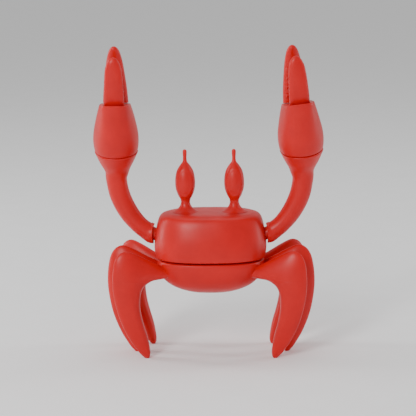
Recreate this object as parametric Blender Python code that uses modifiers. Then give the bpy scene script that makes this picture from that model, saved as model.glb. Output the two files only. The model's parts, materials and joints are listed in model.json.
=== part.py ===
"""A crab-shaped utensil rest and pot-lid prop in red silicone, as an assembly of separate pieces.

The crab faces -Y and stands on the Z = 0 plane. Left is -X and right is +X, as seen from in front.
Every dimension below is in millimetres; MM turns it into Blender's metres.
"""

import math

import bmesh
import bpy
from mathutils import Matrix, Vector

MM = 0.001
SHARP_ANGLE = math.radians(40)  # edges sharper than this stay crisp
GAP = 0.35  # clearance kept between neighbouring pieces
PLAN_POWER = 2.5  # squareness of the body's plan outline: 2 is an ellipse
SIDES = {"left": -1, "right": 1}

# Body: two halves that meet at the mouth line and open on a pin behind it
MOUTH_Z = 38.8
MOUTH_GAP = 0.5
BODY_WALL = 3.0
BODY_POINTS = 32
# (height, half width, half depth) from the mouth up and from the mouth down
CARAPACE_SECTIONS = (
    (MOUTH_Z + MOUTH_GAP / 2, 21.5, 14.9),
    (40.0, 22.0, 15.3),
    (43.0, 22.3, 15.5),
    (47.0, 22.0, 15.2),
    (51.0, 21.4, 14.4),
    (54.3, 20.6, 13.4),
    (56.1, 19.4, 12.2),
    (57.0, 17.0, 10.2),
)
BELLY_SECTIONS = (
    (MOUTH_Z - MOUTH_GAP / 2, 21.3, 14.7),
    (36.5, 21.4, 14.8),
    (33.5, 20.6, 14.1),
    (30.5, 18.9, 12.6),
    (27.6, 15.2, 9.9),
    (25.4, 9.4, 6.0),
    (24.4, 2.6, 1.7),
)
HOLLOW_TOP = (19.2, 12.8)  # half width and depth, before the wall is taken off
PALATE_THICKNESS = 2.4

# Rear hinge of the mouth
HINGE_Y = 16.6
HINGE_Z = MOUTH_Z
KNUCKLE_RADIUS = 2.2
SPRING_ROOM = 5.4  # between the carapace's two knuckles
KNUCKLE_WIDTH = 4.0
HINGE_PIN_RADIUS = 0.8
BELLY_WEB_START = 12.4
CARAPACE_WEB_START = 13.0
WEB_INSET = 0.1
WEB_CLEARANCE = 0.05

INNER_KNUCKLE_X = (SPRING_ROOM + KNUCKLE_WIDTH) / 2
OUTER_KNUCKLE_X = INNER_KNUCKLE_X + KNUCKLE_WIDTH + 1.5 * GAP

# Torsion spring on the hinge pin, which holds the mouth closed on a pot's rim
SPRING_WIRE_RADIUS = 0.25
SPRING_COIL_RADIUS = 1.5
SPRING_TURNS = 4
SPRING_PITCH = 0.95
SPRING_TURN_POINTS = 12
SPRING_ARM_UP = 3.6
SPRING_ARM_DOWN = 4.6

# Eyes: stalk, bulb and feeler in one piece, plugged into the carapace
EYE_X = 9.7
EYE_PEG_RADIUS = 1.5
FEELER_CAP = 0.25  # height of the feeler's domed tip
EYE_PEG_DEPTH = 2.6
# (height above the carapace's flat top, radius) from the feeler's tip down
EYE_PROFILE = (
    (24.6, 0.45),
    (24.1, 0.8),
    (23.2, 0.85),
    (21.6, 0.7),
    (20.0, 0.85),
    (18.6, 2.0),
    (16.2, 3.35),
    (12.8, 3.95),
    (9.4, 3.75),
    (6.6, 2.75),
    (4.9, 1.9),
    (3.4, 1.8),
    (1.9, 2.5),
    (0.9, 3.6),
)
EYE_FLARE_RADIUS = 4.8
EYE_SEGMENTS = 16

# Arms: (x, y, z, radius) along the right arm, from the shoulder to the cup's rim
SHOULDER = (20.4, 0.0, 47.4)
SHOULDER_BALL_RADIUS = 3.6
SHOULDER_NECK_RADIUS = 2.7
ARM_ROUTE = (
    (23.0, 0.0, 48.5, 4.2),
    (23.7, 0.0, 48.6, 4.0),
    (25.4, 0.0, 49.6, 3.6),
    (28.6, -0.1, 52.3, 3.55),
    (32.4, -0.2, 57.2, 3.85),
    (35.5, -0.3, 63.6, 4.05),
    (36.8, -0.8, 70.2, 4.15),
    (36.5, -1.6, 74.4, 4.9),
    (36.4, -2.8, 78.6, 6.9),
    (36.3, -3.9, 82.3, 8.5),
)
ARM_SIDES = 16
ROUTE_STEPS = 2

# Claws: palm, toothed rear finger and front finger, in a frame centred on the cup's ball seat
CLAW_CENTRE = (36.3, -4.0, 82.6)
CUP_TILT = 16.0  # degrees forward, of the axis that the cup and the claw share
CLAW_TURN = {"left": 2.5, "right": 7.5}  # degrees, at rest
CLAW_LEAN = {"left": 1.4, "right": -4.5}  # degrees inward, at rest
SEAT_RADIUS = 6.6
PALM_POINTS = 24
# (height above the seat's centre, half width, half depth, outline power)
PALM_SECTIONS = (
    (0.1, 8.2, 8.2, 2.0),
    (0.8, 8.55, 8.7, 2.0),
    (4.0, 8.9, 9.5, 2.0),
    (7.4, 8.75, 10.1, 2.0),
    (11.3, 8.0, 10.3, 2.1),
    (15.2, 7.0, 10.1, 2.4),
    (18.4, 6.0, 9.6, 3.0),
)
PALM_SEAT_ANGLES = (12, 28, 44, 60, 75, 90)  # degrees up the ball seat
# The palm's top rises towards the front, from the height where the slant begins; it has its
# stated height at the rear finger's front face
PALM_SLANT = 0.35
PALM_SLANT_START = 7.4
PALM_LEVEL_Y = 3.1
STEM_RADIUS = 1.6
STEM_LENGTH = 7.0
STEM_ROOT = 1.0  # how far the stem reaches into the seat
PALM_TOP = 18.4
# (height above the palm's top, half width, half thickness, distance behind the palm's axis)
REAR_FINGER = (
    (GAP, 5.0, 2.8, 5.9),
    (5.0, 4.65, 2.65, 5.8),
    (10.8, 3.95, 2.5, 5.6),
    (16.6, 3.2, 2.2, 5.0),
    (20.8, 2.3, 1.7, 4.2),
    (22.8, 1.4, 1.2, 3.7),
    (23.7, 0.6, 0.6, 3.5),
)
FINGER_PEG_RADIUS = 1.3
FINGER_PEG_LENGTH = 4.5
# (height above the pivot, half width, half thickness, distance behind the pivot)
FRONT_FINGER = (
    (-0.4, 3.55, 1.5, 0.0),
    (2.0, 3.9, 1.8, -0.1),
    (6.0, 3.85, 1.8, -0.2),
    (11.0, 3.6, 1.75, -0.1),
    (16.0, 3.15, 1.55, 0.5),
    (18.8, 2.2, 1.2, 0.9),
    (20.1, 1.1, 0.75, 1.2),
    (20.5, 0.5, 0.4, 1.3),
)
FINGER_POINTS = 16
FINGER_POWER = 2.4
REAR_FINGER_SLANTS = (1.0, 0.5)  # of the palm's slant, at the lowest sections
PINCER_PIVOT_Y = -5.2
PINCER_PIVOT_Z = 19.9
PINCER_ROOT_RADIUS = 1.9
TROUGH_HEIGHT = 6.0  # of the cut above the pivot, past the palm's top
PINCER_ROOT_HALF_WIDTH = 3.9
PINCER_PIN_RADIUS = 0.6
PINCER_PIN_LENGTH = 9.4
TOOTH_RADIUS = 0.8
TOOTH_SPAN = 1.5  # of the finger's half width
TOOTH_SINK = 0.15
TOOTH_HEIGHTS = (3.4, 7.0, 10.6, 14.2)

# Legs: hips (x, y) on the right side, with the plan angle that each leg points at
HIP_Z = 34.2
# (hip x, hip y, plan angle in degrees, how far the foot stands out beyond the pattern, how high
# the knee stands above the hip as a share of the pattern)
HIPS = {
    "front": (16.9, -7.6, -19.0, 0.0, 1.0),
    "middle": (18.3, -0.2, -2.0, 2.8, 1.0),
    "rear": (16.9, 7.6, 20.0, -1.0, 0.92),
}
HIP_BALL_RADIUS = 3.3
SOCKET_MOUTH_RADIUS = 3.35
SOCKET_MOUTH_LENGTH = 8.0
# (inner reach, inner height, outer reach, outer height, half thickness), the two ends of a leg's
# section measured out from the hip and up from the ground
LEG_SECTIONS = (
    (0.2, 31.9, 0.2, 36.4, 2.4),
    (3.2, 31.6, 2.8, 37.2, 2.7),
    (6.4, 31.2, 7.2, 39.4, 3.1),
    (9.0, 29.8, 12.4, 42.2, 3.4),
    (10.5, 28.0, 17.0, 43.8, 3.5),
    (11.2, 25.8, 20.6, 41.6, 3.6),
    (11.5, 23.2, 22.2, 36.2, 3.6),
    (11.3, 19.2, 22.2, 27.2, 3.6),
    (10.3, 14.4, 19.9, 16.8, 3.2),
    (8.7, 8.8, 16.3, 8.6, 2.7),
    (7.8, 3.4, 12.6, 2.9, 2.0),
    (7.9, 1.0, 10.9, 0.9, 1.5),
    (8.4, 0.0, 10.0, 0.0, 1.0),
)
LEG_POINTS = 14


def clear_scene():
    """Removes what the startup file holds."""
    for obj in list(bpy.data.objects):
        bpy.data.objects.remove(obj)


def new_collection(name):
    """Makes a collection under the scene."""
    collection = bpy.data.collections.new(name)
    bpy.context.scene.collection.children.link(collection)
    return collection


def new_material(name, colour, roughness, metallic):
    """Makes a plain Principled material."""
    material = bpy.data.materials.new(name)
    material.use_nodes = True
    shader = material.node_tree.nodes["Principled BSDF"]
    shader.inputs["Base Color"].default_value = (*colour, 1.0)
    shader.inputs["Roughness"].default_value = roughness
    shader.inputs["Metallic"].default_value = metallic
    return material


def metres(point):
    """A point in millimetres as a vector in metres."""
    return Vector(point) * MM


def add_object(name, mesh, material=None, parent=None, cutter=False):
    """Puts a mesh in the scene, as a piece of the crab or as a hidden helper."""
    obj = bpy.data.objects.new(name, mesh)
    (HELPERS if cutter else CRAB).objects.link(obj)
    obj.parent = parent
    if material is not None:
        mesh.materials.append(material)
    if cutter:
        obj.hide_render = True
        obj.display_type = "WIRE"
    return obj


def mesh_from(bm, name):
    """Finishes a bmesh: faces out, round surfaces smooth."""
    bmesh.ops.recalc_face_normals(bm, faces=bm.faces)
    mesh = bpy.data.meshes.new(name)
    bm.to_mesh(mesh)
    bm.free()
    mesh.shade_smooth()
    mesh.set_sharp_from_angle(angle=SHARP_ANGLE)
    return mesh


def pivot(name, place, rotation=(0.0, 0.0, 0.0), parent=None):
    """An empty on a joint's axis, which the pieces that move together hang from."""
    empty = bpy.data.objects.new(name, None)
    CRAB.objects.link(empty)
    empty.location = metres(place)
    empty.rotation_euler = rotation
    empty.parent = parent
    bpy.context.view_layer.update()
    return empty


def smooth_rows(rows, steps):
    """Catmull-Rom rows between rows of numbers, so that a few sections make a smooth form."""
    found = []
    for i in range(len(rows) - 1):
        a, b, c, d = (rows[max(0, min(len(rows) - 1, i + k))] for k in (-1, 0, 1, 2))
        for step in range(steps):
            t = step / steps
            row = []
            for p, q, r, s in zip(a, b, c, d):
                bend = 2 * p - 5 * q + 4 * r - s + t * (3 * q - p - 3 * r + s)
                row.append(q + t / 2 * (r - p + t * bend))
            found.append(tuple(row))
    found.append(tuple(rows[-1]))
    return found


def plan_ring(z, half_width, half_depth, count, power=PLAN_POWER, y=0.0):
    """A level superellipse outline."""
    ring = []
    for i in range(count):
        angle = 2 * math.pi * i / count
        c, s = math.cos(angle), math.sin(angle)
        x = half_width * math.copysign(abs(c) ** (2 / power), c)
        ring.append((x, y + half_depth * math.copysign(abs(s) ** (2 / power), s), z))
    return ring


def loft(name, rings):
    """A closed skin through rings of the same number of points, with flat ends."""
    bm = bmesh.new()
    rows = [[bm.verts.new(metres(point)) for point in ring] for ring in rings]
    count = len(rows[0])
    for low, high in zip(rows, rows[1:]):
        for i in range(count):
            j = (i + 1) % count
            bm.faces.new((low[i], low[j], high[j], high[i]))
    bm.faces.new(reversed(rows[0]))
    bm.faces.new(rows[-1])
    return mesh_from(bm, name)


def cylinder_mesh(name, radius, length, segments=20, upright=False):
    """A cylinder along X, or along Z when it is upright, centred on the origin."""
    bm = bmesh.new()
    bmesh.ops.create_cone(
        bm,
        cap_ends=True,
        segments=segments,
        radius1=radius * MM,
        radius2=radius * MM,
        depth=length * MM,
        matrix=Matrix.Rotation(0.0 if upright else math.pi / 2, 4, "Y"),
    )
    return mesh_from(bm, name)


def box_mesh(name, low, high):
    """A box between two corners."""
    bm = bmesh.new()
    size = metres(high) - metres(low)
    middle = (metres(high) + metres(low)) / 2
    bmesh.ops.create_cube(bm, size=1.0, matrix=Matrix.Translation(middle) @ Matrix.Diagonal((*size, 1.0)))
    return mesh_from(bm, name)


def ball_mesh(name, radius, segments=16, rings=10):
    """A ball centred on the origin."""
    bm = bmesh.new()
    bmesh.ops.create_uvsphere(bm, u_segments=segments, v_segments=rings, radius=radius * MM)
    return mesh_from(bm, name)


def combine(target, helper, operation):
    """Cuts a helper from a piece, or joins it on."""
    modifier = target.modifiers.new(f"{operation.lower()}_{helper.name}", "BOOLEAN")
    modifier.operation = operation
    modifier.object = helper
    modifier.solver = "EXACT"


def helper(name, mesh, place=(0.0, 0.0, 0.0), parent=None, rotation=(0.0, 0.0, 0.0)):
    """A hidden helper for a cut or a join."""
    obj = add_object(name, mesh, parent=parent, cutter=True)
    obj.location = metres(place)
    obj.rotation_euler = rotation
    return obj


def hinge_knuckle(target, name, middle, length, web_low, web_high):
    """Joins a knuckle and its web to a body half, and bores it for the pin."""
    place = (middle, HINGE_Y, HINGE_Z)
    half = length / 2
    web = box_mesh(f"{name}_web", (middle - half, *web_low), (middle + half, *web_high))
    combine(target, helper(f"{name}_web", web), "UNION")
    barrel = cylinder_mesh(f"{name}_barrel", KNUCKLE_RADIUS, length)
    combine(target, helper(f"{name}_barrel", barrel, place), "UNION")
    bore = cylinder_mesh(f"{name}_bore", HINGE_PIN_RADIUS + GAP, length + 2)
    combine(target, helper(f"{name}_bore", bore, place), "DIFFERENCE")


def knuckle_relief(target, name, middle, length):
    """Clears the room that the other half's knuckle turns in."""
    relief = cylinder_mesh(f"{name}_relief", KNUCKLE_RADIUS + GAP, length + 2 * GAP)
    combine(target, helper(f"{name}_relief", relief, (middle, HINGE_Y, HINGE_Z)), "DIFFERENCE")


def leg_facing(name, sign):
    """The plan angle of a leg, in radians from +X."""
    angle = math.radians(HIPS[name][2])
    return angle if sign > 0 else math.pi - angle


def make_belly():
    """The lower body: a shallow bowl-shaped block with six hip sockets and two hinge knuckles."""
    rings = [plan_ring(z, a, b, BODY_POINTS) for z, a, b in BELLY_SECTIONS]
    belly = add_object("belly", loft("belly", rings), SILICONE)
    knuckle_relief(belly, "spring_and_knuckle_room", 0.0, SPRING_ROOM + 2 * KNUCKLE_WIDTH)
    low = (BELLY_WEB_START, HINGE_Z - KNUCKLE_RADIUS + WEB_INSET)
    high = (HINGE_Y, MOUTH_Z - MOUTH_GAP / 2 - WEB_CLEARANCE)
    for side, sign in SIDES.items():
        middle = sign * OUTER_KNUCKLE_X
        hinge_knuckle(belly, f"belly_knuckle_{side}", middle, KNUCKLE_WIDTH, low, high)
        for leg, (x, y, *_) in HIPS.items():
            socket = ball_mesh(f"socket_{leg}_{side}", HIP_BALL_RADIUS + GAP)
            combine(belly, helper(f"socket_{leg}_{side}", socket, (sign * x, y, HIP_Z)), "DIFFERENCE")
            facing = leg_facing(leg, sign)
            reach = SOCKET_MOUTH_LENGTH / 2
            place = (sign * x + reach * math.cos(facing), y + reach * math.sin(facing), HIP_Z)
            room = cylinder_mesh(f"thigh_room_{leg}_{side}", SOCKET_MOUTH_RADIUS, SOCKET_MOUTH_LENGTH)
            room_helper = helper(f"thigh_room_{leg}_{side}", room, place, rotation=(0.0, 0.0, facing))
            combine(belly, room_helper, "DIFFERENCE")
    return belly


def make_carapace(parent):
    """The upper body: a hollow shell with two shoulder sockets, two eye holes and the middle knuckle."""
    rings = [plan_ring(z, a, b, BODY_POINTS) for z, a, b in CARAPACE_SECTIONS]
    carapace = add_object("carapace", loft("carapace", rings), SILICONE)
    hollow = (
        (MOUTH_Z - 1, *CARAPACE_SECTIONS[0][1:]),
        *CARAPACE_SECTIONS[1:5],
        (CARAPACE_SECTIONS[-1][0] - BODY_WALL, *HOLLOW_TOP),
    )
    inner = [plan_ring(z, a - BODY_WALL, b - BODY_WALL, BODY_POINTS) for z, a, b in hollow]
    combine(carapace, helper("carapace_hollow", loft("carapace_hollow", inner)), "DIFFERENCE")
    low = (CARAPACE_WEB_START, MOUTH_Z + MOUTH_GAP / 2 + WEB_CLEARANCE)
    high = (HINGE_Y, HINGE_Z + KNUCKLE_RADIUS - WEB_INSET)
    knuckle_relief(carapace, "spring_room", 0.0, SPRING_ROOM - 4 * GAP)
    for side, sign in SIDES.items():
        middle = sign * INNER_KNUCKLE_X
        hinge_knuckle(carapace, f"carapace_knuckle_{side}", middle, KNUCKLE_WIDTH, low, high)
        knuckle_relief(carapace, f"outer_knuckle_room_{side}", sign * OUTER_KNUCKLE_X, KNUCKLE_WIDTH)
        socket = ball_mesh(f"shoulder_socket_{side}", SHOULDER_BALL_RADIUS + GAP)
        place = (sign * SHOULDER[0], SHOULDER[1], SHOULDER[2])
        combine(carapace, helper(f"shoulder_socket_{side}", socket, place), "DIFFERENCE")
        hole = cylinder_mesh(f"eye_hole_{side}", EYE_PEG_RADIUS + GAP, 3 * BODY_WALL, upright=True)
        place = (sign * EYE_X, 0.0, CARAPACE_SECTIONS[-1][0])
        combine(carapace, helper(f"eye_hole_{side}", hole, place), "DIFFERENCE")
    keep_place(carapace, parent)
    return carapace


def make_palate(parent):
    """The plate that closes the shell from below and is the upper lip's flat gripping face."""
    low, high = MOUTH_Z + MOUTH_GAP / 2, MOUTH_Z + MOUTH_GAP / 2 + PALATE_THICKNESS
    inset = BODY_WALL + GAP
    _, half_width, half_depth = CARAPACE_SECTIONS[0]
    rings = [plan_ring(z, half_width - inset, half_depth - inset, BODY_POINTS) for z in (low, high)]
    palate = add_object("palate", loft("palate", rings), SILICONE)
    keep_place(palate, parent)
    return palate


def keep_place(obj, parent):
    """Parents a piece modelled in place without moving it."""
    bpy.context.view_layer.update()
    obj.parent = parent
    obj.matrix_parent_inverse = parent.matrix_world.inverted()


def make_eye(side, sign, parent):
    """One eye, turned about its stalk: peg, flared foot, stalk, bulb and feeler."""
    top = CARAPACE_SECTIONS[-1][0] + GAP
    outline = [(radius, top + height) for height, radius in EYE_PROFILE]
    outline += [(EYE_FLARE_RADIUS, top), (EYE_PEG_RADIUS, top), (EYE_PEG_RADIUS, top - EYE_PEG_DEPTH)]
    outline = [(0.0, outline[0][1] + FEELER_CAP), *outline, (0.0, outline[-1][1])]
    bm = bmesh.new()
    verts = [bm.verts.new(metres((radius, 0.0, z))) for radius, z in outline]
    for low, high in zip(verts, verts[1:]):
        bm.edges.new((low, high))
    mesh = bpy.data.meshes.new(f"eye_{side}")
    bm.to_mesh(mesh)
    bm.free()
    eye = add_object(f"eye_{side}", mesh, SILICONE)
    screw = eye.modifiers.new("turn", "SCREW")
    screw.angle = 2 * math.pi
    screw.steps = EYE_SEGMENTS
    screw.render_steps = EYE_SEGMENTS
    screw.use_merge_vertices = True
    screw.merge_threshold = 0.00001
    screw.use_smooth_shade = True
    eye.location = metres((sign * EYE_X, 0.0, 0.0))
    keep_place(eye, parent)
    return eye


def tube_mesh(name, points, sides):
    """A round tube of varying radius along (x, y, z, radius) points, as one closed mesh."""
    curve = bpy.data.curves.new(name, "CURVE")
    curve.dimensions = "3D"
    curve.bevel_depth = MM
    curve.bevel_resolution = (sides - 4) // 2
    curve.use_fill_caps = True
    spline = curve.splines.new("POLY")
    spline.points.add(len(points) - 1)
    for target, (x, y, z, radius) in zip(spline.points, points):
        target.co = (*metres((x, y, z)), 1.0)
        target.radius = radius
    obj = bpy.data.objects.new(f"{name}_curve", curve)
    HELPERS.objects.link(obj)
    bpy.context.view_layer.update()
    mesh = bpy.data.meshes.new_from_object(obj.evaluated_get(bpy.context.evaluated_depsgraph_get()))
    bpy.data.objects.remove(obj)
    bm = bmesh.new()
    bm.from_mesh(mesh)
    bmesh.ops.remove_doubles(bm, verts=bm.verts, dist=0.01 * MM)
    bpy.data.meshes.remove(mesh)
    return mesh_from(bm, name)


def make_arm(side, sign, parent):
    """One arm: a shoulder ball, a curved round arm, and the cup that the claw sits in."""
    points = [(sign * x, y, z, radius) for x, y, z, radius in smooth_rows(ARM_ROUTE, ROUTE_STEPS)]
    arm = add_object(f"arm_{side}", tube_mesh(f"arm_{side}", points, ARM_SIDES), SILICONE)
    place = (sign * SHOULDER[0], SHOULDER[1], SHOULDER[2])
    neck_length = 2 * (ARM_ROUTE[1][0] - SHOULDER[0])
    neck = cylinder_mesh("shoulder_neck", SHOULDER_NECK_RADIUS, neck_length)
    combine(arm, helper(f"shoulder_neck_{side}", neck, place), "UNION")
    ball = helper(f"shoulder_ball_{side}", ball_mesh("shoulder_ball", SHOULDER_BALL_RADIUS), place)
    combine(arm, ball, "UNION")
    centre = (sign * CLAW_CENTRE[0], CLAW_CENTRE[1], CLAW_CENTRE[2])
    seat = helper(f"cup_seat_{side}", ball_mesh("cup_seat", SEAT_RADIUS + GAP), centre)
    combine(arm, seat, "DIFFERENCE")
    bore_length = 2 * (SEAT_RADIUS + STEM_LENGTH - STEM_ROOT + GAP)
    bore = cylinder_mesh("stem_bore", STEM_RADIUS + GAP, bore_length, upright=True)
    along = (math.radians(CUP_TILT), math.radians(CLAW_LEAN[side]), 0.0)
    combine(arm, helper(f"stem_bore_{side}", bore, centre, rotation=along), "DIFFERENCE")
    keep_place(arm, parent)
    return arm


def slanted(ring, share):
    """Lifts a ring's front and lowers its back, by a share of the palm's slant."""
    return [(x, y, z + share * PALM_SLANT * (PALM_LEVEL_Y - y)) for x, y, z in ring]


def make_palm(side, claw):
    """The claw's palm: a ball seat and stem below, a swelling bulb, and a trough for the front finger."""
    rings = []
    for degrees in PALM_SEAT_ANGLES:
        height = -SEAT_RADIUS * math.cos(math.radians(degrees))
        radius = SEAT_RADIUS * math.sin(math.radians(degrees))
        rings.append(plan_ring(height, radius, radius, PALM_POINTS, 2.0))
    for height, half_width, half_depth, power in PALM_SECTIONS:
        share = max(0.0, (height - PALM_SLANT_START) / (PALM_TOP - PALM_SLANT_START))
        rings.append(slanted(plan_ring(height, half_width, half_depth, PALM_POINTS, power), share))
    palm = add_object(f"palm_{side}", loft(f"palm_{side}", rings), SILICONE, claw)
    stem = cylinder_mesh("stem", STEM_RADIUS, STEM_LENGTH, upright=True)
    down = (0.0, 0.0, -(SEAT_RADIUS + STEM_LENGTH / 2 - STEM_ROOT))
    combine(palm, helper(f"stem_{side}", stem, down, claw), "UNION")
    trough = cylinder_mesh("trough", PINCER_ROOT_RADIUS + 2 * GAP, 2 * (PINCER_ROOT_HALF_WIDTH + GAP))
    pivot_place = (0.0, PINCER_PIVOT_Y, PINCER_PIVOT_Z)
    combine(palm, helper(f"trough_{side}", trough, pivot_place, claw), "DIFFERENCE")
    half_width = PINCER_ROOT_HALF_WIDTH + GAP
    reach = PINCER_ROOT_RADIUS + 2 * GAP
    mouth = box_mesh(
        "trough_mouth",
        (-half_width, PINCER_PIVOT_Y - reach, PINCER_PIVOT_Z),
        (half_width, PINCER_PIVOT_Y + reach, PINCER_PIVOT_Z + TROUGH_HEIGHT),
    )
    combine(palm, helper(f"trough_mouth_{side}", mouth, parent=claw), "DIFFERENCE")
    hole_depth = FINGER_PEG_LENGTH + GAP
    hole = cylinder_mesh("finger_hole", FINGER_PEG_RADIUS + GAP, 2 * hole_depth, upright=True)
    hole_place = (0.0, REAR_FINGER[0][3], PALM_TOP)
    combine(palm, helper(f"finger_hole_{side}", hole, hole_place, claw), "DIFFERENCE")
    pin_bore = cylinder_mesh("pin_bore", PINCER_PIN_RADIUS + GAP / 2, 3 * PINCER_PIN_LENGTH)
    combine(palm, helper(f"pin_bore_{side}", pin_bore, pivot_place, claw), "DIFFERENCE")
    return palm


def make_rear_finger(side, claw):
    """The longer, fixed finger, with a peg below and a row of cross teeth towards the front finger."""
    rings = [plan_ring(PALM_TOP + z, a, t, FINGER_POINTS, FINGER_POWER, y) for z, a, t, y in REAR_FINGER]
    for i, share in enumerate(REAR_FINGER_SLANTS):
        rings[i] = slanted(rings[i], share)
    finger = add_object(f"rear_finger_{side}", loft(f"rear_finger_{side}", rings), SILICONE, claw)
    peg = cylinder_mesh("finger_peg", FINGER_PEG_RADIUS, 2 * FINGER_PEG_LENGTH, upright=True)
    combine(finger, helper(f"finger_peg_{side}", peg, (0.0, REAR_FINGER[0][3], PALM_TOP), claw), "UNION")
    for number, height in enumerate(TOOTH_HEIGHTS):
        low = max(row for row in REAR_FINGER if row[0] <= height)
        high = min(row for row in REAR_FINGER if row[0] > height)
        share = (height - low[0]) / (high[0] - low[0])
        half_width, half_thick, back = (p + share * (q - p) for p, q in zip(low[1:], high[1:]))
        tooth = cylinder_mesh("tooth", TOOTH_RADIUS, TOOTH_SPAN * half_width, 10)
        place = (0.0, back - half_thick + TOOTH_SINK, PALM_TOP + height)
        combine(finger, helper(f"tooth_{number}_{side}", tooth, place, claw), "UNION")
    return finger


def make_front_finger(side, hinge):
    """The shorter finger, which swings forward on its pin."""
    rings = [plan_ring(z, a, t, FINGER_POINTS, FINGER_POWER, y) for z, a, t, y in FRONT_FINGER]
    finger = add_object(f"front_finger_{side}", loft(f"front_finger_{side}", rings), SILICONE, hinge)
    root = cylinder_mesh("finger_root", PINCER_ROOT_RADIUS, 2 * PINCER_ROOT_HALF_WIDTH)
    combine(finger, helper(f"finger_root_{side}", root, parent=hinge), "UNION")
    bore = cylinder_mesh("finger_bore", PINCER_PIN_RADIUS + GAP, 3 * PINCER_ROOT_HALF_WIDTH)
    combine(finger, helper(f"finger_bore_{side}", bore, parent=hinge), "DIFFERENCE")
    return finger


def make_claw(side, sign, arm_pivot):
    """A whole claw, on the pivots of its turn in the cup and of its pincer."""
    centre = (sign * CLAW_CENTRE[0], CLAW_CENTRE[1], CLAW_CENTRE[2])
    along = (math.radians(CUP_TILT), math.radians(CLAW_LEAN[side]), 0.0)
    cup_axis = pivot(f"cup_axis_{side}", centre, along)
    turned = (0.0, 0.0, math.radians(CLAW_TURN[side]))
    claw = pivot(f"claw_pivot_{side}", (0.0, 0.0, 0.0), turned, cup_axis)
    make_palm(side, claw)
    make_rear_finger(side, claw)
    place = (0.0, PINCER_PIVOT_Y, PINCER_PIVOT_Z)
    hinge = pivot(f"pincer_pivot_{side}", place, parent=claw)
    make_front_finger(side, hinge)
    pin = cylinder_mesh(f"pincer_pin_{side}", PINCER_PIN_RADIUS, PINCER_PIN_LENGTH, 16)
    add_object(f"pincer_pin_{side}", pin, STEEL, hinge)
    keep_place(cup_axis, arm_pivot)


def make_spring():
    """The torsion spring: a coil round the hinge pin, with an arm up the carapace and one down the belly."""
    steps = SPRING_TURNS * SPRING_TURN_POINTS
    width = SPRING_TURNS * SPRING_PITCH
    points = []
    for i in range(steps + 1):
        angle = 2 * math.pi * i / SPRING_TURN_POINTS
        x = width * (i / steps - 0.5)
        y = HINGE_Y + SPRING_COIL_RADIUS * math.cos(angle)
        points.append((x, y, HINGE_Z + SPRING_COIL_RADIUS * math.sin(angle), SPRING_WIRE_RADIUS))
    first, last = points[0], points[-1]
    points.insert(0, (first[0], first[1], HINGE_Z - SPRING_ARM_DOWN, SPRING_WIRE_RADIUS))
    points.append((last[0], last[1], HINGE_Z + SPRING_ARM_UP, SPRING_WIRE_RADIUS))
    add_object("closing_spring", tube_mesh("closing_spring", points, 8), STEEL)


def make_leg(side, sign, name):
    """One leg: hip ball, thigh, high knee and a shin that tapers to the foot."""
    x, y, _, foot_out, knee_share = HIPS[name]
    hip = pivot(f"hip_pivot_{name}_{side}", (sign * x, y, HIP_Z), (0.0, 0.0, leg_facing(name, sign)))
    rings = []
    for u0, z0, u1, z1, half_thick in LEG_SECTIONS:
        low = z0 - HIP_Z
        high = z1 - HIP_Z
        if high > 0.0:
            high *= knee_share
        middle = Vector(((u0 + u1) / 2, 0.0, (low + high) / 2))
        middle.x += foot_out * max(0.0, -middle.z) / HIP_Z
        reach = Vector(((u1 - u0) / 2, 0.0, (high - low) / 2))
        across = Vector((0.0, half_thick, 0.0))
        angles = [2 * math.pi * i / LEG_POINTS for i in range(LEG_POINTS)]
        rings.append([middle + reach * math.cos(a) + across * math.sin(a) for a in angles])
    leg = add_object(f"leg_{name}_{side}", loft(f"leg_{name}_{side}", rings), SILICONE, hip)
    ball = helper(f"hip_ball_{name}_{side}", ball_mesh("hip_ball", HIP_BALL_RADIUS), parent=hip)
    combine(leg, ball, "UNION")
    return leg


def make_crab():
    """Every piece of the crab, half by half and limb by limb."""
    make_belly()
    mouth = pivot("mouth_hinge", (0.0, HINGE_Y, HINGE_Z))
    make_carapace(mouth)
    make_palate(mouth)
    pin_length = 2 * OUTER_KNUCKLE_X + KNUCKLE_WIDTH
    pin = add_object("hinge_pin", cylinder_mesh("hinge_pin", HINGE_PIN_RADIUS, pin_length, 16), STEEL)
    pin.location = metres((0.0, HINGE_Y, HINGE_Z))
    make_spring()
    for side, sign in SIDES.items():
        make_eye(side, sign, mouth)
        shoulder = pivot(f"shoulder_pivot_{side}", (sign * SHOULDER[0], SHOULDER[1], SHOULDER[2]))
        make_arm(side, sign, shoulder)
        make_claw(side, sign, shoulder)
        keep_place(shoulder, mouth)
        for name in HIPS:
            make_leg(side, sign, name)


clear_scene()
CRAB = new_collection("crab_utensil_rest")
HELPERS = new_collection("helpers")
SILICONE = new_material("red_silicone", (0.80, 0.012, 0.020), 0.38, 0.0)
STEEL = new_material("pin_steel", (0.62, 0.62, 0.64), 0.3, 1.0)
make_crab()
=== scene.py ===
"""The crab utensil rest's looks: smooth silicone skins on the frame, materials, lights, camera."""

import json
import math

import bmesh
import bpy
from mathutils import Matrix, Vector


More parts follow.
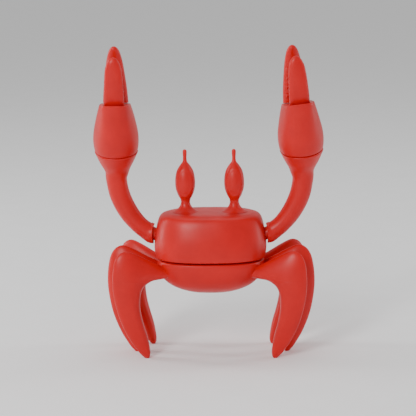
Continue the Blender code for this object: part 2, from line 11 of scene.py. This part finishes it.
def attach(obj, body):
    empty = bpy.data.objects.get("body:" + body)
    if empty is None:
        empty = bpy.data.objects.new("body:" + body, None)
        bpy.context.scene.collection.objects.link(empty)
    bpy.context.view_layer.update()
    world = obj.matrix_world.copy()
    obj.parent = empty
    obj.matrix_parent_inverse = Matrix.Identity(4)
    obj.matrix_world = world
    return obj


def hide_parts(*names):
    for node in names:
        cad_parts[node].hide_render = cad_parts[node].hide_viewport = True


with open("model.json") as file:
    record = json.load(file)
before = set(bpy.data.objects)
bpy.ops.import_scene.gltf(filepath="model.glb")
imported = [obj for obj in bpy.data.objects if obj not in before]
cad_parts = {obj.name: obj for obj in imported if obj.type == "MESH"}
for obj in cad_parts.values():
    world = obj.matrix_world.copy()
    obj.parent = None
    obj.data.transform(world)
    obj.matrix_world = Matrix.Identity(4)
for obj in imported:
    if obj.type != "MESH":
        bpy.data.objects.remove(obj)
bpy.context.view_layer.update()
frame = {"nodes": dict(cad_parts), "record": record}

# Dimensions in millimetres, as in the CAD source
MM = 0.001
GAP = 0.35
PLAN_POWER = 2.5
SIDES = {"left": -1, "right": 1}

MOUTH_Z = 38.8
BODY_WALL = 3.0
# (height, half width, half depth) of level outlines, for the bodies and the crown between the eyes
CARAPACE_SECTIONS = (
    (39.55, 21.85, 15.2),
    (43.0, 22.3, 15.5),
    (47.0, 22.0, 15.2),
    (51.0, 21.4, 14.4),
    (54.3, 20.6, 13.4),
    (56.1, 19.4, 12.2),
    (57.0, 17.0, 10.2),
)
CROWN = ((57.15, 13.0, 7.6), (57.22, 8.0, 4.6), (57.25, 2.0, 1.2))
CARAPACE_MOUTH = (21.5, 14.9)
CARAPACE_LIP = ((0.0, 21.3, 14.65), (0.12, 21.65, 15.0))  # height above the mouth's upper edge
BELLY_LIP = ((0.0, 15.0, 8.6), (0.0, 20.6, 14.05), (-0.12, 21.0, 14.45))
PALATE_ROOM_TOP = 43.0
BELLY_SECTIONS = (
    (38.05, 21.25, 14.7),
    (36.5, 21.4, 14.8),
    (33.5, 20.6, 14.1),
    (30.5, 18.9, 12.6),
    (27.6, 15.2, 9.9),
    (25.4, 9.4, 6.0),
    (24.4, 2.6, 1.7),
)

HINGE = (0.0, 16.6, 38.8)
KNUCKLE_RADIUS = 2.2
KNUCKLE_WIDTH = 4.0
KNUCKLE_X = {"shell": 4.7, "base": 9.225}
KNUCKLE_WEB_START = 13.0
KNUCKLE_WEB_INSET = 0.3

EYE_X = 9.7
EYE_FOOT_Z = 57.2
# (height above the foot, radius)
EYE_PROFILE = (
    (0.0, 5.2),
    (0.35, 4.35),
    (0.9, 3.5),
    (1.9, 2.5),
    (3.4, 1.85),
    (4.9, 1.95),
    (6.6, 2.85),
    (9.4, 3.8),
    (12.8, 3.95),
    (16.2, 3.35),
    (18.6, 2.0),
    (20.0, 0.95),
    (21.6, 0.72),
    (23.2, 0.82),
    (24.3, 0.8),
    (24.8, 0.5),
    (24.95, 0.1),
)
FACET_CENTRE_Z = 11.9
FACET_HALF_HEIGHT = 5.4
FACET_HALF_WIDTH = 2.7
FACET_DEPTH = 0.28
FACET_EDGE = 0.14  # width of the facet's slope, as a share of its size

SHOULDER_X = 20.4
NECK_RADIUS = 2.7
# (x, y, z, radius) on the right side, from the shoulder to the cup's rim
ARM_ROUTE = (
    (23.0, 0.0, 48.5, 4.2),
    (23.7, 0.0, 48.6, 4.0),
    (25.4, 0.0, 49.6, 3.6),
    (28.6, -0.1, 52.3, 3.55),
    (32.4, -0.2, 57.2, 3.85),
    (35.5, -0.3, 63.6, 4.05),
    (36.8, -0.8, 70.2, 4.15),
    (36.5, -1.6, 74.4, 4.9),
    (36.4, -2.8, 78.6, 6.9),
    (36.3, -3.9, 82.3, 8.5),
)

CUP_RIM = ((0.22, 0.12), (0.34, 0.45))  # (rise above the route's end, radius taken off)
CUP_SEAT_ANGLES = (88, 70, 50, 30, 12)  # degrees up the seat, from the rim down
SEAT_RADIUS = 6.6
PALM_SEAT_ANGLES = (12, 28, 44, 60, 75, 90)
# (height above the seat's centre, half width, half depth, outline power)
PALM_SECTIONS = (
    (0.1, 8.0, 8.0, 2.0),
    (0.8, 8.55, 8.7, 2.0),
    (4.0, 8.9, 9.5, 2.0),
    (7.4, 8.75, 10.1, 2.0),
    (11.3, 8.0, 10.3, 2.1),
    (15.2, 7.0, 10.1, 2.4),
    (18.15, 6.05, 9.65, 3.0),
    (18.32, 5.95, 9.5, 3.0),
)
PALM_RIM = (18.4, 5.75, 9.3, 3.0)
PALM_SLANT = 0.35
PALM_SLANT_START = 7.4
PALM_LEVEL_Y = 3.1
REAR_FINGER_SLANT_HEIGHT = 10.0
PALM_TOP = 18.4
# (height, half width, half thickness, distance behind the axis); the rear finger's heights start at
# the palm's top, the front finger's at its pivot
REAR_FINGER = (
    (GAP, 5.0, 2.8, 5.9),
    (5.0, 4.65, 2.65, 5.8),
    (10.8, 3.95, 2.5, 5.6),
    (16.6, 3.2, 2.2, 5.0),
    (20.8, 2.3, 1.7, 4.2),
    (22.8, 1.4, 1.2, 3.7),
    (23.6, 0.5, 0.5, 3.5),
)
FRONT_FINGER = (
    (-0.4, 3.55, 1.5, 0.0),
    (2.0, 3.9, 1.8, -0.1),
    (6.0, 3.85, 1.8, -0.2),
    (11.0, 3.6, 1.75, -0.1),
    (16.0, 3.15, 1.55, 0.5),
    (18.8, 2.2, 1.2, 0.9),
    (20.1, 1.1, 0.75, 1.2),
    (20.5, 0.4, 0.35, 1.3),
)
PINCER_PIVOT_Y = -5.2
PINCER_PIVOT_Z = 19.9
TROUGH_HEIGHT = 6.0
TROUGH_GAP = 0.15  # round the front finger's root, in the skin
PINCER_ROOT_RADIUS = 1.9
PINCER_ROOT_HALF_WIDTH = 3.9
TOOTH_RADIUS = 0.8
TOOTH_HEIGHTS = (3.4, 7.0, 10.6, 14.2)
TOOTH_SPAN = 1.6  # of the finger's half width
TOOTH_SINK = 0.15
FINGER_POWER = 2.3

HIP_Z = 34.2
# (hip x, hip y, plan angle, how far the foot stands out, knee height as a share of the pattern)
HIPS = {
    "front": (16.9, -7.6, -19.0, 0.0, 1.0),
    "middle": (18.3, -0.2, -2.0, 2.8, 1.0),
    "rear": (16.9, 7.6, 20.0, -1.0, 0.92),
}
# (inner reach, inner height, outer reach, outer height, half thickness)
LEG_SECTIONS = (
    (0.2, 31.9, 0.2, 36.4, 2.4),
    (3.2, 31.6, 2.8, 37.2, 2.7),
    (6.4, 31.2, 7.2, 39.4, 3.1),
    (9.0, 29.8, 12.4, 42.2, 3.4),
    (10.5, 28.0, 17.0, 43.8, 3.5),
    (11.2, 25.8, 20.6, 41.6, 3.6),
    (11.5, 23.2, 22.2, 36.2, 3.6),
    (11.3, 19.2, 22.2, 27.2, 3.6),
    (10.3, 14.4, 19.9, 16.8, 3.2),
    (8.7, 8.8, 16.3, 8.6, 2.7),
    (7.8, 3.4, 12.6, 2.9, 2.0),
    (7.9, 1.0, 10.9, 0.9, 1.5),
    (8.4, 0.0, 10.0, 0.0, 1.0),
)
LEG_SECTION_POWER = 1.7
LEG_RIDGE_SHIFT = 0.3  # how far the ridge along each shin stands inward of its middle
PARTING_LINE_Z = 31.8

# Points round each kind of ring
BODY_POINTS = 96
ROUND_POINTS = 56
PALM_POINTS = 64
FINGER_POINTS = 48
ROD_POINTS = 40
TOOTH_POINTS = 24

# Camera and lights
CAMERA_ELEVATION = math.radians(11.0)
CAMERA_ROLL = math.radians(-0.85)
CAMERA_AZIMUTH = math.radians(2.5)
CAMERA_DISTANCE = 0.62
CAMERA_TARGET = Vector((-0.0008, 0.0, 0.0585))
FIELD_WIDTH = 0.16515
SENSOR_WIDTH = 36.0
FLOOR_SIZE = 6.0
CRAB_MIDDLE = (0.0, 0.0, 0.06)
# (name, place, size, power)
LIGHTS = (
    ("key", (-0.30, -0.62, 0.42), (0.16, 0.30), 3.4),
    ("left_strip", (-0.62, 0.10, 0.22), (0.12, 0.60), 2.2),
    ("right_strip", (0.62, 0.16, 0.22), (0.12, 0.60), 1.4),
    ("top", (0.0, 0.15, 0.75), (0.5, 0.4), 1.0),
)
SURROUND_STRENGTH = 0.6


def smooth_rows(rows, steps):
    """Catmull-Rom rows between rows of numbers."""
    found = []
    for i in range(len(rows) - 1):
        a, b, c, d = (rows[max(0, min(len(rows) - 1, i + k))] for k in (-1, 0, 1, 2))
        for step in range(steps):
            t = step / steps
            row = []
            for p, q, r, s in zip(a, b, c, d):
                bend = 2 * p - 5 * q + 4 * r - s + t * (3 * q - p - 3 * r + s)
                row.append(q + t / 2 * (r - p + t * bend))
            found.append(tuple(row))
    found.append(tuple(rows[-1]))
    return found


def plan_ring(z, half_width, half_depth, count=BODY_POINTS, power=PLAN_POWER, y=0.0):
    """A level superellipse outline, in millimetres."""
    ring = []
    for i in range(count):
        angle = 2 * math.pi * i / count
        c, s = math.cos(angle), math.sin(angle)
        x = half_width * math.copysign(abs(c) ** (2 / power), c)
        ring.append(Vector((x, y + half_depth * math.copysign(abs(s) ** (2 / power), s), z)))
    return ring


def add_loft(bm, rings):
    """Adds a closed skin through rings of millimetre points to a bmesh in metres."""
    rows = [[bm.verts.new(point * MM) for point in ring] for ring in rings]
    count = len(rows[0])
    for low, high in zip(rows, rows[1:]):
        for i in range(count):
            j = (i + 1) % count
            bm.faces.new((low[i], low[j], high[j], high[i]))
    bm.faces.new(reversed(rows[0]))
    bm.faces.new(rows[-1])


def add_rod(bm, place, radius, length, segments=ROD_POINTS):
    """Adds a round rod along X with softly rounded ends."""
    ends = ((-0.5, 0.82), (-0.48, 0.95), (-0.44, 1.0), (0.44, 1.0), (0.48, 0.95), (0.5, 0.82))
    rings = []
    for share, size in ends:
        ring = []
        for i in range(segments):
            angle = 2 * math.pi * i / segments
            across = radius * size * math.cos(angle)
            up = radius * size * math.sin(angle)
            ring.append(Vector(place) + Vector((share * length, across, up)))
        rings.append(ring)
    add_loft(bm, rings)


def finish_piece(name, bm, material, body, node, crease=35.0):
    """Makes the piece, which rides on a body and stands for a CAD node."""
    bmesh.ops.recalc_face_normals(bm, faces=bm.faces)
    mesh = bpy.data.meshes.new(name)
    bm.to_mesh(mesh)
    bm.free()
    mesh.shade_smooth()
    mesh.set_sharp_from_angle(angle=math.radians(crease))
    mesh.materials.append(material)
    piece = bpy.data.objects.new(name, mesh)
    bpy.context.scene.collection.objects.link(piece)
    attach(piece, body)
    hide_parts(node)
    return piece


def joint(name):
    """A joint's place and axis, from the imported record."""
    found = next(j for j in frame["record"]["behaviour"]["joints"] if j["name"] == name)
    return Vector(found["pos_m"]), Vector(found["axis"]).normalized()


def claw_frame(side):
    """The claw's frame in metres: Z up the palm from the cup's centre, X along the pincer's pin."""
    centre, up = joint(f"claw_turn_{side}")
    _, across = joint(f"pincer_opening_{side}")
    deep = up.cross(across).normalized()
    rotation = Matrix((across, deep, up)).transposed().to_4x4()
    return Matrix.Translation(centre) @ rotation


def make_belly(material):
    """The lower body: a rounded lip, a smooth bowl and the two outer hinge knuckles."""
    bm = bmesh.new()
    top = MOUTH_Z - GAP
    rings = [plan_ring(top + rise, a, b) for rise, a, b in BELLY_LIP]
    rings += [plan_ring(*row) for row in smooth_rows(BELLY_SECTIONS, 6)]
    add_loft(bm, rings)
    add_knuckles(bm, "base", MOUTH_Z - GAP, -1)
    return finish_piece("belly_skin", bm, material, "base", "belly")


def add_knuckles(bm, body, web_z, way):
    """Adds the hinge knuckles of one half, each with the web that carries it."""
    for sign in SIDES.values():
        middle = sign * KNUCKLE_X[body]
        add_rod(bm, (middle, HINGE[1], HINGE[2]), KNUCKLE_RADIUS, KNUCKLE_WIDTH)
        half = KNUCKLE_WIDTH / 2 - 0.1
        rings = []
        for y in (KNUCKLE_WEB_START, HINGE[1]):
            z = web_z + way * (KNUCKLE_RADIUS - GAP - KNUCKLE_WEB_INSET)
            corners = ((-half, web_z), (half, web_z), (half, z), (-half, z))
            rings.append([Vector((middle + x, y, height)) for x, height in corners])
        add_loft(bm, rings)


def make_carapace(material):
    """The upper body: rounded lip, sides that lean in, a soft brow edge and a slightly crowned top."""
    bm = bmesh.new()
    low = MOUTH_Z + GAP
    inset = BODY_WALL
    half_width, half_depth = CARAPACE_MOUTH
    rings = [
        plan_ring(PALATE_ROOM_TOP, half_width - inset, half_depth - inset),
        plan_ring(low, half_width - inset, half_depth - inset),
    ]
    rings += [plan_ring(low + rise, a, b) for rise, a, b in CARAPACE_LIP]
    rings += [plan_ring(*row) for row in smooth_rows(CARAPACE_SECTIONS, 6)]
    rings += [plan_ring(*row) for row in CROWN]
    add_loft(bm, rings)
    add_knuckles(bm, "shell", MOUTH_Z + GAP, 1)
    return finish_piece("carapace_skin", bm, material, "shell", "carapace", 50.0)


def make_eye(side, sign, material):
    """One eye: a fillet out of the carapace, stalk, bulb with an oval facet in front, and feeler."""
    bm = bmesh.new()
    rings = []
    for height, radius in smooth_rows(EYE_PROFILE, 5):
        ring = []
        for i in range(ROUND_POINTS):
            angle = 2 * math.pi * i / ROUND_POINTS
            x, y = radius * math.cos(angle), radius * math.sin(angle)
            across = x / FACET_HALF_WIDTH
            along = (height - FACET_CENTRE_Z) / FACET_HALF_HEIGHT
            inside = 1.0 - math.hypot(across, along)
            if y < 0.0 and inside > 0.0:
                y += FACET_DEPTH * min(1.0, inside / FACET_EDGE)
            ring.append(Vector((sign * EYE_X + x, y, EYE_FOOT_Z + height)))
        rings.append(ring)
    add_loft(bm, rings)
    return finish_piece(f"eye_skin_{side}", bm, material, "shell", f"eye_{side}", 60.0)


def ring_across(place, tangent, radius, count=ROUND_POINTS):
    """A round ring across a route's direction."""
    side = Vector((0.0, 1.0, 0.0)).cross(tangent).normalized()
    other = tangent.cross(side).normalized()
    angles = [2 * math.pi * i / count for i in range(count)]
    return [place + radius * (side * math.cos(a) + other * math.sin(a)) for a in angles]


def make_arm(side, sign, material):
    """One arm: neck, flared shoulder, curved round arm, and a cup with a rounded rim."""
    rows = [(sign * x, y, z, radius) for x, y, z, radius in smooth_rows(ARM_ROUTE, 8)]
    places = [Vector(row[:3]) for row in rows]
    radii = [row[3] for row in rows]
    out = Vector((sign, 0.0, 0.0))
    start = places[0]
    neck = Vector((sign * SHOULDER_X, 0.0, 47.4))
    rings = [
        ring_across(neck, out, NECK_RADIUS),
        ring_across(start - 0.2 * out, out, NECK_RADIUS),
        ring_across(start - 0.2 * out, out, radii[0] - 0.3),
    ]
    for i in range(len(places)):
        before, after = places[max(0, i - 1)], places[min(len(places) - 1, i + 1)]
        rings.append(ring_across(places[i], (after - before).normalized(), radii[i]))
    centre, up = joint(f"claw_turn_{side}")
    centre = centre / MM
    rim = places[-1]
    for rise, less in CUP_RIM:
        rings.append(ring_across(rim + rise * up, up, radii[-1] - less))
    for degrees in CUP_SEAT_ANGLES:
        angle = math.radians(degrees)
        seat = SEAT_RADIUS + GAP
        rings.append(ring_across(centre - up * seat * math.cos(angle), up, seat * math.sin(angle)))
    bm = bmesh.new()
    add_loft(bm, rings)
    return finish_piece(f"arm_skin_{side}", bm, material, f"arm_{side}", f"arm_{side}", 50.0)


def cut_trough(bm):
    """Cuts the front finger's trough into the palm's top."""
    mesh = bpy.data.meshes.new("palm_blank")
    bm.to_mesh(mesh)
    bm.free()
    blank = bpy.data.objects.new("palm_blank", mesh)
    reach = PINCER_ROOT_RADIUS + 3 * TROUGH_GAP
    half = PINCER_ROOT_HALF_WIDTH + TROUGH_GAP
    angles = [math.radians(degrees) for degrees in range(180, 361, 6)]
    outline = [Vector((0.0, reach * math.cos(a), reach * math.sin(a))) for a in angles]
    outline += [Vector((0.0, reach, TROUGH_HEIGHT)), Vector((0.0, -reach, TROUGH_HEIGHT))]
    offset = Vector((0.0, PINCER_PIVOT_Y, PINCER_PIVOT_Z))
    cutter_bm = bmesh.new()
    ends = []
    for x in (-half, half):
        ends.append([point + offset + Vector((x, 0.0, 0.0)) for point in outline])
    add_loft(cutter_bm, ends)
    bmesh.ops.recalc_face_normals(cutter_bm, faces=cutter_bm.faces)
    cutter_mesh = bpy.data.meshes.new("trough_cutter")
    cutter_bm.to_mesh(cutter_mesh)
    cutter_bm.free()
    cutter = bpy.data.objects.new("trough_cutter", cutter_mesh)
    for obj in (blank, cutter):
        bpy.context.scene.collection.objects.link(obj)
    cut = blank.modifiers.new("trough", "BOOLEAN")
    cut.operation = "DIFFERENCE"
    cut.object = cutter
    cut.solver = "EXACT"
    bpy.context.view_layer.update()
    result = bpy.data.meshes.new_from_object(blank.evaluated_get(bpy.context.evaluated_depsgraph_get()))
    for obj in (blank, cutter):
        bpy.data.objects.remove(obj)
    cut_bm = bmesh.new()
    cut_bm.from_mesh(result)
    bpy.data.meshes.remove(result)
    return cut_bm


def slanted(ring, share):
    """Lifts a ring's front and lowers its back, by a share of the palm's slant."""
    lift = share * PALM_SLANT
    return [Vector((point.x, point.y, point.z + lift * (PALM_LEVEL_Y - point.y))) for point in ring]


def make_palm(side, material):
    """The palm: a ball seat hidden in the cup, a swelling bulb, and the trough in its top."""
    bm = bmesh.new()
    rings = []
    for degrees in PALM_SEAT_ANGLES:
        angle = math.radians(degrees)
        radius = SEAT_RADIUS * math.sin(angle)
        rings.append(plan_ring(-SEAT_RADIUS * math.cos(angle), radius, radius, PALM_POINTS, 2.0))
    for height, half_width, half_depth, power in [*smooth_rows(PALM_SECTIONS, 6), PALM_RIM]:
        share = max(0.0, (height - PALM_SLANT_START) / (PALM_TOP - PALM_SLANT_START))
        rings.append(slanted(plan_ring(height, half_width, half_depth, PALM_POINTS, power), share))
    add_loft(bm, rings)
    bmesh.ops.recalc_face_normals(bm, faces=bm.faces)
    bm = cut_trough(bm)
    bm.transform(claw_frame(side))
    return finish_piece(f"palm_skin_{side}", bm, material, f"claw_{side}", f"palm_{side}", 40.0)


def make_rear_finger(side, material):
    """The longer finger, tapering to a rounded tip, with a row of cross teeth."""
    bm = bmesh.new()
    rows = smooth_rows(REAR_FINGER, 6)
    rings = []
    for height, half_width, half_thick, back in rows:
        share = max(0.0, 1.0 - height / REAR_FINGER_SLANT_HEIGHT)
        size = (half_width, half_thick)
        ring = plan_ring(PALM_TOP + height, *size, FINGER_POINTS, FINGER_POWER, back)
        rings.append(slanted(ring, share))
    add_loft(bm, rings)
    for height in TOOTH_HEIGHTS:
        _, half_width, half_thick, back = min(rows, key=lambda row: abs(row[0] - height))
        place = (0.0, back - half_thick + TOOTH_SINK, PALM_TOP + height)
        add_rod(bm, place, TOOTH_RADIUS, TOOTH_SPAN * half_width, TOOTH_POINTS)
    bm.transform(claw_frame(side))
    name = f"rear_finger_skin_{side}"
    return finish_piece(name, bm, material, f"claw_{side}", f"rear_finger_{side}", 45.0)


def make_front_finger(side, material):
    """The shorter finger, with the round root that turns in the trough."""
    bm = bmesh.new()
    rows = smooth_rows(FRONT_FINGER, 6)
    rings = []
    for z, half_width, half_thick, back in rows:
        size = (half_width, half_thick)
        place = PINCER_PIVOT_Y + back
        rings.append(plan_ring(PINCER_PIVOT_Z + z, *size, FINGER_POINTS, FINGER_POWER, place))
    add_loft(bm, rings)
    pivot = (0.0, PINCER_PIVOT_Y, PINCER_PIVOT_Z)
    add_rod(bm, pivot, PINCER_ROOT_RADIUS, 2 * PINCER_ROOT_HALF_WIDTH)
    bm.transform(claw_frame(side))
    name = f"front_finger_skin_{side}"
    return finish_piece(name, bm, material, f"pincer_{side}", f"front_finger_{side}", 45.0)


def leg_ring(row, foot_out, knee_share, count=ROUND_POINTS):
    """One cross-section of a leg: a rounded wedge, thickest at the ridge towards its inner edge."""
    u0, z0, u1, z1, half_thick = row
    if z1 > HIP_Z:
        z1 = HIP_Z + knee_share * (z1 - HIP_Z)
    middle = Vector(((u0 + u1) / 2, 0.0, (z0 + z1) / 2))
    middle.x += foot_out * max(0.0, HIP_Z - middle.z) / HIP_Z
    reach = Vector(((u1 - u0) / 2, 0.0, (z1 - z0) / 2))
    ring = []
    for i in range(count):
        angle = 2 * math.pi * i / count
        c, s = math.cos(angle), math.sin(angle)
        along = math.copysign(abs(c) ** (2 / LEG_SECTION_POWER), c)
        across = math.copysign(abs(s) ** (2 / LEG_SECTION_POWER), s)
        along -= LEG_RIDGE_SHIFT * (1.0 - along * along)
        ring.append(middle + reach * along + Vector((0.0, half_thick * across, 0.0)))
    return ring


def make_leg(name, side, sign, material):
    """One leg: thigh, rounded knee and a long flattened shin with a soft ridge."""
    x, y, degrees, foot_out, knee_share = HIPS[name]
    bm = bmesh.new()
    add_loft(bm, [leg_ring(row, foot_out, knee_share) for row in smooth_rows(LEG_SECTIONS, 5)])
    angle = math.radians(degrees) if sign > 0 else math.pi - math.radians(degrees)
    place = Matrix.Translation(Vector((sign * x, y, 0.0)) * MM)
    bm.transform(place @ Matrix.Rotation(angle, 4, "Z"))
    return finish_piece(f"leg_skin_{name}_{side}", bm, material, "base", f"leg_{name}_{side}", 60.0)


def node(tree, kind, **values):
    """Adds a shader node and sets its inputs and settings by name."""
    made = tree.nodes.new(kind)
    for key, value in values.items():
        if key in made.inputs:
            made.inputs[key].default_value = value
        else:
            setattr(made, key, value)
    return made


def silicone_material(name, parting_line):
    """Satin moulded silicone: one red, fine matte grain, faint mottling and a mould's parting line."""
    material = bpy.data.materials.new(name)
    material.use_nodes = True
    tree = material.node_tree
    shader = tree.nodes["Principled BSDF"]
    shader.inputs["Subsurface Weight"].default_value = 0.03
    shader.inputs["Subsurface Radius"].default_value = (0.004, 0.0008, 0.0006)
    shader.inputs["Subsurface Scale"].default_value = 0.5
    shader.inputs["Sheen Weight"].default_value = 0.03
    shader.inputs["Sheen Roughness"].default_value = 0.45
    shader.inputs["Sheen Tint"].default_value = (1.0, 0.55, 0.55, 1.0)
    shader.inputs["IOR"].default_value = 1.43
    shader.inputs["Specular IOR Level"].default_value = 0.42
    link = tree.links.new
    where = node(tree, "ShaderNodeTexCoord")

    mottle = node(tree, "ShaderNodeTexNoise", Scale=90.0, Detail=4.0, Roughness=0.6)
    link(where.outputs["Object"], mottle.inputs["Vector"])
    colours = node(tree, "ShaderNodeValToRGB")
    colours.color_ramp.elements[0].position = 0.3
    colours.color_ramp.elements[0].color = (0.50, 0.0001, 0.0007, 1.0)
    colours.color_ramp.elements[1].position = 0.72
    colours.color_ramp.elements[1].color = (0.60, 0.0002, 0.0012, 1.0)
    link(mottle.outputs["Fac"], colours.inputs["Fac"])
    link(colours.outputs["Color"], shader.inputs["Base Color"])

    polish = node(tree, "ShaderNodeTexNoise", Scale=260.0, Detail=3.0)
    link(where.outputs["Object"], polish.inputs["Vector"])
    sheen_range = node(tree, "ShaderNodeMapRange")
    sheen_range.inputs["To Min"].default_value = 0.32
    sheen_range.inputs["To Max"].default_value = 0.46
    link(polish.outputs["Fac"], sheen_range.inputs["Value"])
    link(sheen_range.outputs["Result"], shader.inputs["Roughness"])

    grain = node(tree, "ShaderNodeTexNoise", Scale=4200.0, Detail=2.0, Roughness=0.5)
    link(where.outputs["Object"], grain.inputs["Vector"])
    fine = node(tree, "ShaderNodeBump", Strength=0.10, Distance=0.00008)
    link(grain.outputs["Fac"], fine.inputs["Height"])
    waves = node(tree, "ShaderNodeBump", Strength=0.12, Distance=0.0004)
    link(mottle.outputs["Fac"], waves.inputs["Height"])
    link(fine.outputs["Normal"], waves.inputs["Normal"])
    last = waves
    if parting_line:
        parts = node(tree, "ShaderNodeSeparateXYZ")
        link(where.outputs["Object"], parts.inputs["Vector"])
        away = node(tree, "ShaderNodeMath", operation="SUBTRACT")
        away.inputs[1].default_value = PARTING_LINE_Z * MM
        link(parts.outputs["Z"], away.inputs[0])
        distance = node(tree, "ShaderNodeMath", operation="ABSOLUTE")
        link(away.outputs["Value"], distance.inputs[0])
        line = node(tree, "ShaderNodeMapRange", interpolation_type="SMOOTHSTEP")
        line.inputs["From Min"].default_value = 0.00008
        line.inputs["From Max"].default_value = 0.00024
        line.inputs["To Min"].default_value = 1.0
        line.inputs["To Max"].default_value = 0.0
        link(distance.outputs["Value"], line.inputs["Value"])
        last = node(tree, "ShaderNodeBump", Strength=0.35, Distance=0.00012)
        link(line.outputs["Result"], last.inputs["Height"])
        link(waves.outputs["Normal"], last.inputs["Normal"])
    link(last.outputs["Normal"], shader.inputs["Normal"])
    return material


def steel_material():
    """Drawn stainless wire: fine lines along X and an uneven polish."""
    material = bpy.data.materials.new("drawn_steel")
    material.use_nodes = True
    tree = material.node_tree
    shader = tree.nodes["Principled BSDF"]
    shader.inputs["Metallic"].default_value = 1.0
    link = tree.links.new
    where = node(tree, "ShaderNodeTexCoord")
    stretch = node(tree, "ShaderNodeMapping", Scale=(0.05, 1.0, 1.0))
    link(where.outputs["Object"], stretch.inputs["Vector"])
    lines = node(tree, "ShaderNodeTexNoise", Scale=9000.0, Detail=2.0)
    link(stretch.outputs["Vector"], lines.inputs["Vector"])
    colours = node(tree, "ShaderNodeValToRGB")
    colours.color_ramp.elements[0].color = (0.50, 0.50, 0.52, 1.0)
    colours.color_ramp.elements[1].color = (0.68, 0.68, 0.70, 1.0)
    link(lines.outputs["Fac"], colours.inputs["Fac"])
    link(colours.outputs["Color"], shader.inputs["Base Color"])
    polish = node(tree, "ShaderNodeMapRange")
    polish.inputs["To Min"].default_value = 0.2
    polish.inputs["To Max"].default_value = 0.4
    link(lines.outputs["Fac"], polish.inputs["Value"])
    link(polish.outputs["Result"], shader.inputs["Roughness"])
    bump = node(tree, "ShaderNodeBump", Strength=0.15, Distance=0.00002)
    link(lines.outputs["Fac"], bump.inputs["Height"])
    link(bump.outputs["Normal"], shader.inputs["Normal"])
    return material


def paint_node(name, material):
    """Gives a carried-over CAD node its finished material."""
    for material_slot in frame["nodes"][name].material_slots:
        material_slot.material = material


def make_floor():
    """A plain pale floor, almost the background's white."""
    bm = bmesh.new()
    bmesh.ops.create_grid(bm, x_segments=1, y_segments=1, size=FLOOR_SIZE / 2)
    mesh = bpy.data.meshes.new("floor")
    bm.to_mesh(mesh)
    bm.free()
    material = bpy.data.materials.new("pale_floor")
    material.use_nodes = True
    tree = material.node_tree
    shader = tree.nodes["Principled BSDF"]
    shader.inputs["Roughness"].default_value = 0.85
    where = node(tree, "ShaderNodeTexCoord")
    speckle = node(tree, "ShaderNodeTexNoise", Scale=60.0, Detail=3.0)
    tree.links.new(where.outputs["Object"], speckle.inputs["Vector"])
    colours = node(tree, "ShaderNodeValToRGB")
    colours.color_ramp.elements[0].color = (0.90, 0.90, 0.90, 1.0)
    colours.color_ramp.elements[1].color = (0.94, 0.94, 0.94, 1.0)
    tree.links.new(speckle.outputs["Fac"], colours.inputs["Fac"])
    tree.links.new(colours.outputs["Color"], shader.inputs["Base Color"])
    mesh.materials.append(material)
    floor = bpy.data.objects.new("floor", mesh)
    bpy.context.scene.collection.objects.link(floor)


def make_camera():
    """The camera: in front, a little above level and slightly to the right."""
    data = bpy.data.cameras.new("camera")
    camera = bpy.data.objects.new("camera", data)
    bpy.context.scene.collection.objects.link(camera)
    back = Vector((0.0, -math.cos(CAMERA_ELEVATION), math.sin(CAMERA_ELEVATION)))
    back.rotate(Matrix.Rotation(CAMERA_AZIMUTH, 3, "Z"))
    camera.location = CAMERA_TARGET + back * CAMERA_DISTANCE
    look = (-back).to_track_quat("-Z", "Y").to_matrix()
    camera.rotation_euler = (look @ Matrix.Rotation(CAMERA_ROLL, 3, "Z")).to_euler()
    data.sensor_width = SENSOR_WIDTH
    data.lens = SENSOR_WIDTH * CAMERA_DISTANCE / FIELD_WIDTH
    data.clip_start = 0.01
    bpy.context.scene.camera = camera


def add_light(name, place, size, power):
    """A rectangular soft light aimed at the crab."""
    data = bpy.data.lights.new(name, "AREA")
    data.shape = "RECTANGLE"
    data.size, data.size_y = size
    data.energy = power
    light = bpy.data.objects.new(name, data)
    bpy.context.scene.collection.objects.link(light)
    light.location = place
    light.rotation_euler = (Vector(CRAB_MIDDLE) - Vector(place)).to_track_quat("-Z", "Y").to_euler()


def make_lights():
    """A key light at the left front, strips on both sides, a top light and a white surround."""
    for light in LIGHTS:
        add_light(*light)
    world = bpy.data.worlds.new("surround")
    world.use_nodes = True
    background = world.node_tree.nodes["Background"]
    background.inputs["Color"].default_value = (1.0, 1.0, 1.0, 1.0)
    background.inputs["Strength"].default_value = SURROUND_STRENGTH
    bpy.context.scene.world = world


def make_crab():
    """Every skin, and the finish of the CAD nodes that stay in sight."""
    silicone = silicone_material("moulded_silicone", False)
    leg_silicone = silicone_material("moulded_leg_silicone", True)
    steel = steel_material()
    make_belly(silicone)
    make_carapace(silicone)
    for side, sign in SIDES.items():
        make_eye(side, sign, silicone)
        make_arm(side, sign, silicone)
        make_palm(side, silicone)
        make_rear_finger(side, silicone)
        make_front_finger(side, silicone)
        for name in HIPS:
            make_leg(name, side, sign, leg_silicone)
        paint_node(f"pincer_pin_{side}", steel)
    paint_node("palate", silicone)
    paint_node("hinge_pin", steel)
    paint_node("closing_spring", steel)


make_camera()
make_lights()
make_floor()
make_crab()
